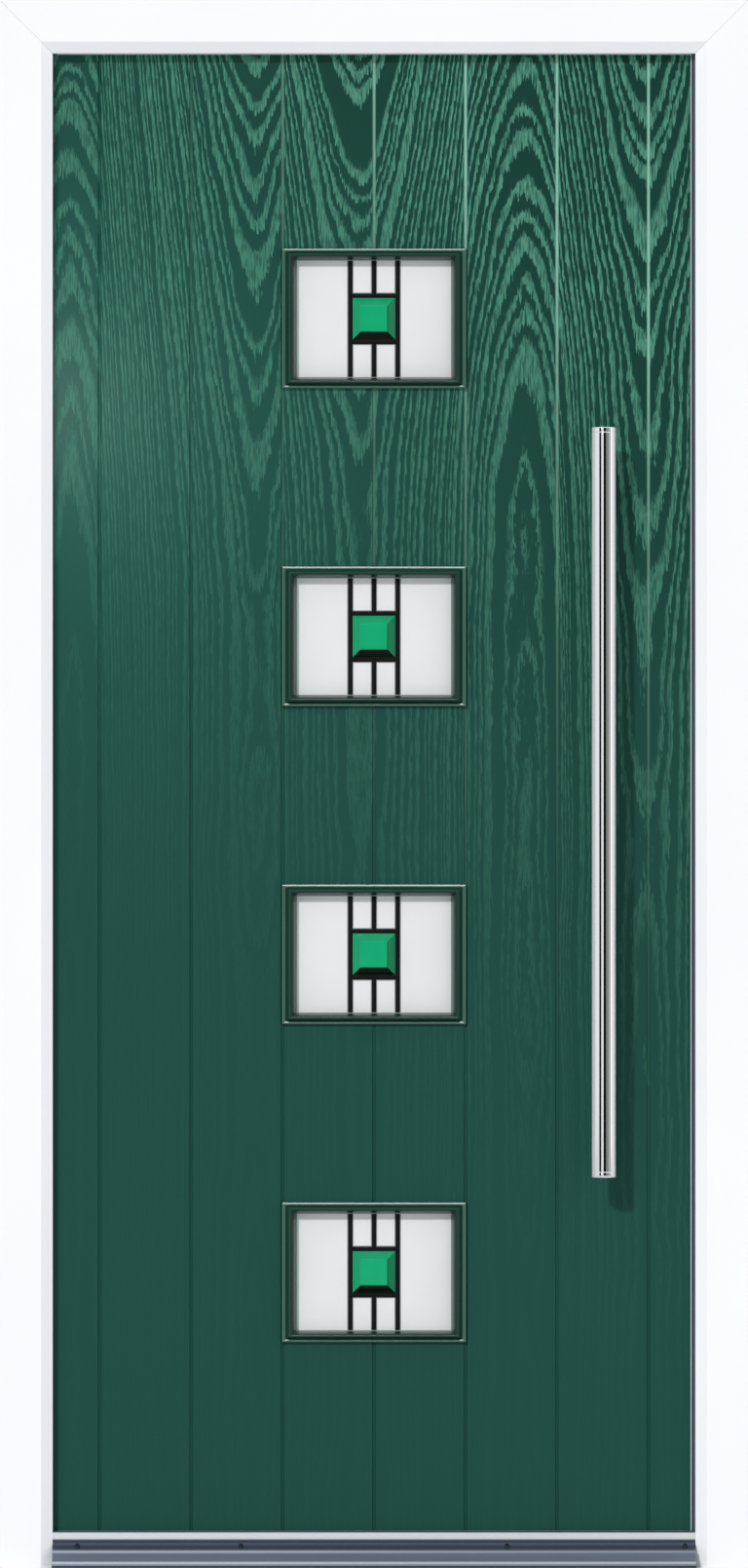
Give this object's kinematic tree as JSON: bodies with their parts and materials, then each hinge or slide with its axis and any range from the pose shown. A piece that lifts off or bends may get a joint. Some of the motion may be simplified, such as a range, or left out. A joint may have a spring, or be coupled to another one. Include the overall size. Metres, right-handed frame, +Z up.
{
  "type": "composite entrance door",
  "caption": "Green plank-pattern entrance door in its white frame, with a column of small leaded windows, a long pull bar outside and a lever inside; the leaf swings inwards.",
  "frame": {"origin": "on the floor, below the middle of the frame's width and depth", "axes": "+X to the right as seen from the street, +Y from the street into the house, +Z up"},
  "size_m": [1, 0.1815, 2.094],
  "materials": {
    "frame_pvc": "smooth extruded plastic, white",
    "threshold_aluminium": "anodised extrusion with drawn lines",
    "seal_rubber": "matt extruded seal",
    "lock_steel": "zinc-plated steel",
    "hinge_white": "white powder coat",
    "skin_green": "moulded wood grain, dark green",
    "skin_white": "moulded wood grain, white",
    "core_foam": "rigid foam",
    "edge_timber": "planed timber",
    "cassette_green": "smooth moulding, dark green",
    "cassette_white": "smooth moulding, white",
    "pane_glass": "satin pale glass",
    "spacer_aluminium": "folded spacer bar",
    "came_lead": "black lead strip",
    "block_glass": "bevelled green glass",
    "bar_steel": "polished stainless tube",
    "handle_chrome": "polished plate"
  },
  "bodies": {
    "frame": {"head": "frame_pvc", "hinge_jamb": "frame_pvc", "lock_jamb": "frame_pvc", "threshold": "threshold_aluminium", "frame_gasket": "seal_rubber", "keep_plate": "lock_steel", "hinge_pins": "lock_steel", "hinge_bottom_frame_half": "hinge_white", "hinge_middle_frame_half": "hinge_white", "hinge_top_frame_half": "hinge_white"},
    "leaf": {"outer_skin": "skin_green", "inner_skin": "skin_white", "foam_core": "core_foam", "hinge_stile": "edge_timber", "lock_stile": "edge_timber", "top_rail": "edge_timber", "bottom_rail": "edge_timber", "pull_bar": "bar_steel", "pull_post_top": "bar_steel", "pull_post_bottom": "bar_steel", "lock_case": "lock_steel", "lock_faceplate": "lock_steel", "handle_plate": "handle_chrome", "hinge_bottom_leaf_half": "hinge_white", "hinge_middle_leaf_half": "hinge_white", "hinge_top_leaf_half": "hinge_white", "outer_cassette_1": "cassette_green", "outer_cassette_2": "cassette_green", "outer_cassette_3": "cassette_green", "outer_cassette_4": "cassette_green", "inner_cassette_1": "cassette_white", "inner_cassette_2": "cassette_white", "inner_cassette_3": "cassette_white", "inner_cassette_4": "cassette_white", "outer_pane_1": "pane_glass", "outer_pane_2": "pane_glass", "outer_pane_3": "pane_glass", "outer_pane_4": "pane_glass", "inner_pane_1": "pane_glass", "inner_pane_2": "pane_glass", "inner_pane_3": "pane_glass", "inner_pane_4": "pane_glass", "spacer_1": "spacer_aluminium", "spacer_2": "spacer_aluminium", "spacer_3": "spacer_aluminium", "spacer_4": "spacer_aluminium", "leaded_pattern_1": "came_lead", "leaded_pattern_2": "came_lead", "leaded_pattern_3": "came_lead", "leaded_pattern_4": "came_lead", "bevelled_block_1": "block_glass", "bevelled_block_2": "block_glass", "bevelled_block_3": "block_glass", "bevelled_block_4": "block_glass"},
    "lever": {"lever": "handle_chrome"},
    "latch": {"latch": "lock_steel"},
    "thumb_turn": {"thumb_turn": "handle_chrome"},
    "deadbolt": {"deadbolt": "lock_steel"}
  },
  "joints": [
    {"name": "door_swing", "type": "hinge", "parent": "frame", "child": "leaf", "pos_m": [-0.448, 0.0445, 1.035], "axis": [0, 0, 1], "range_deg": [0, 100]},
    {"name": "lever_press", "type": "hinge", "parent": "leaf", "child": "lever", "pos_m": [0.401, 0.044, 1.03], "axis": [0, -1, 0], "range_deg": [0, 40], "stiffness_Nm_per_rad": 1},
    {"name": "latch_draw", "type": "slide", "parent": "leaf", "child": "latch", "axis": [1, 0, 0], "range_m": [-0.012, 0]},
    {"name": "thumb_turn", "type": "hinge", "parent": "leaf", "child": "thumb_turn", "pos_m": [0.401, 0.044, 0.938], "axis": [0, 1, 0], "range_deg": [0, 90]},
    {"name": "deadbolt_throw", "type": "slide", "parent": "leaf", "child": "deadbolt", "axis": [1, 0, 0], "range_m": [0, 0.02]}
  ],
  "couplings": [
    {"joint": "latch_draw", "follows": "lever_press", "m_per_rad": -0.017189},
    {"joint": "thumb_turn", "follows": "deadbolt_throw", "rad_per_m": 78.54}
  ]
}
